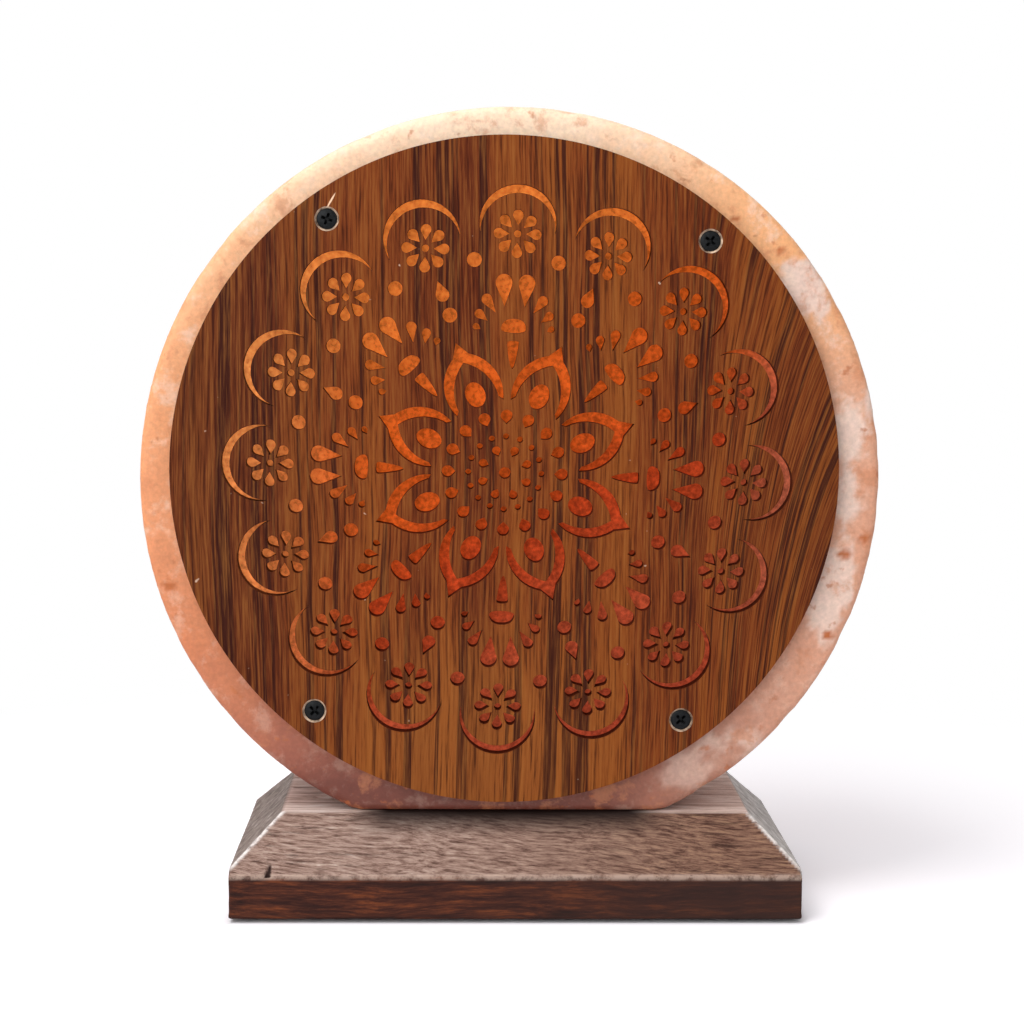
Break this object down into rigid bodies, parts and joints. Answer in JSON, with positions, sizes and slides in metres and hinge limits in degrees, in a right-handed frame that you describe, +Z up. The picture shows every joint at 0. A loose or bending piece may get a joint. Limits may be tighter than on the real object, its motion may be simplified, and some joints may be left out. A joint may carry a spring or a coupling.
{
  "type": "salt crystal lamp",
  "caption": "Table lamp: a round salt slab behind a fretted wooden mandala panel, on a bevelled wooden base, with a push-in bulb holder under it.",
  "frame": {"origin": "centre of the bounding box's bottom face, on the surface that the lamp stands on, under the middle of the salt drum", "axes": "+Z up, +X to the right of someone facing the fretted panel, +Y away from them, through the drum"},
  "size_m": [0.202, 0.08, 0.2198],
  "materials": {
    "stained_wood": "oiled, open grain",
    "panel_wood": "thin board, clear finish, laser-cut edges",
    "rock_salt": "ground, crystalline, slightly see-through",
    "felt": "pressed felt",
    "black_screw": "black phosphate",
    "zinc_screw": "zinc plated",
    "nylon": "moulded",
    "holder_plastic": "moulded, low gloss",
    "gland_plastic": "moulded",
    "lamp_brass": "pressed",
    "spring_steel": "bright",
    "solder": "dull",
    "insulator_glass": "fused dark glass",
    "frosted_glass": "frosted inside",
    "clear_glass": "clear",
    "wire": "drawn wire"
  },
  "bodies": {
    "root": {"base_block": "stained_wood", "foot_pads": "felt", "salt_drum": "rock_salt", "fret_panel": "panel_wood", "panel_screws": "black_screw", "panel_plugs": "nylon", "base_screws": "zinc_screw", "base_plugs": "nylon"},
    "holder": {"holder_cap": "holder_plastic", "holder_shell": "holder_plastic", "cord_gland": "gland_plastic", "thread_shell": "lamp_brass", "centre_contact": "lamp_brass", "clip_pins": "spring_steel"},
    "clip_left": {"clip_left": "spring_steel"},
    "clip_right": {"clip_right": "spring_steel"},
    "bulb_rise": {"bulb_contact": "solder", "bulb_insulator": "insulator_glass"},
    "bulb": {"bulb_cap": "lamp_brass", "bulb_glass": "frosted_glass", "bulb_stem": "clear_glass", "bulb_leads": "wire", "bulb_filament": "wire"}
  },
  "joints": [
    {"name": "holder_pull", "type": "slide", "parent": "root", "child": "holder", "axis": [0, 0, -1], "range_m": [0, 0.09]},
    {"name": "clip_left_squeeze", "type": "hinge", "parent": "holder", "child": "clip_left", "pos_m": [-0.01514, 0, 0.044], "axis": [0, -1, 0], "range_deg": [0, 6], "stiffness_Nm_per_rad": 0.12, "springref_deg": -20.05},
    {"name": "clip_right_squeeze", "type": "hinge", "parent": "holder", "child": "clip_right", "pos_m": [0.01514, 0, 0.044], "axis": [0, 1, 0], "range_deg": [0, 6], "stiffness_Nm_per_rad": 0.12, "springref_deg": -20.05},
    {"name": "bulb_lift", "type": "slide", "parent": "holder", "child": "bulb_rise", "axis": [0, 0, 1], "range_m": [0, 0.0141]},
    {"name": "bulb_turn", "type": "hinge", "parent": "bulb_rise", "child": "bulb", "pos_m": [0, 0, 0.05], "axis": [0, 0, 1], "range_deg": [0, 1800]}
  ],
  "couplings": [
    {"joint": "bulb_turn", "follows": "bulb_lift", "rad_per_m": 2228.1}
  ]
}
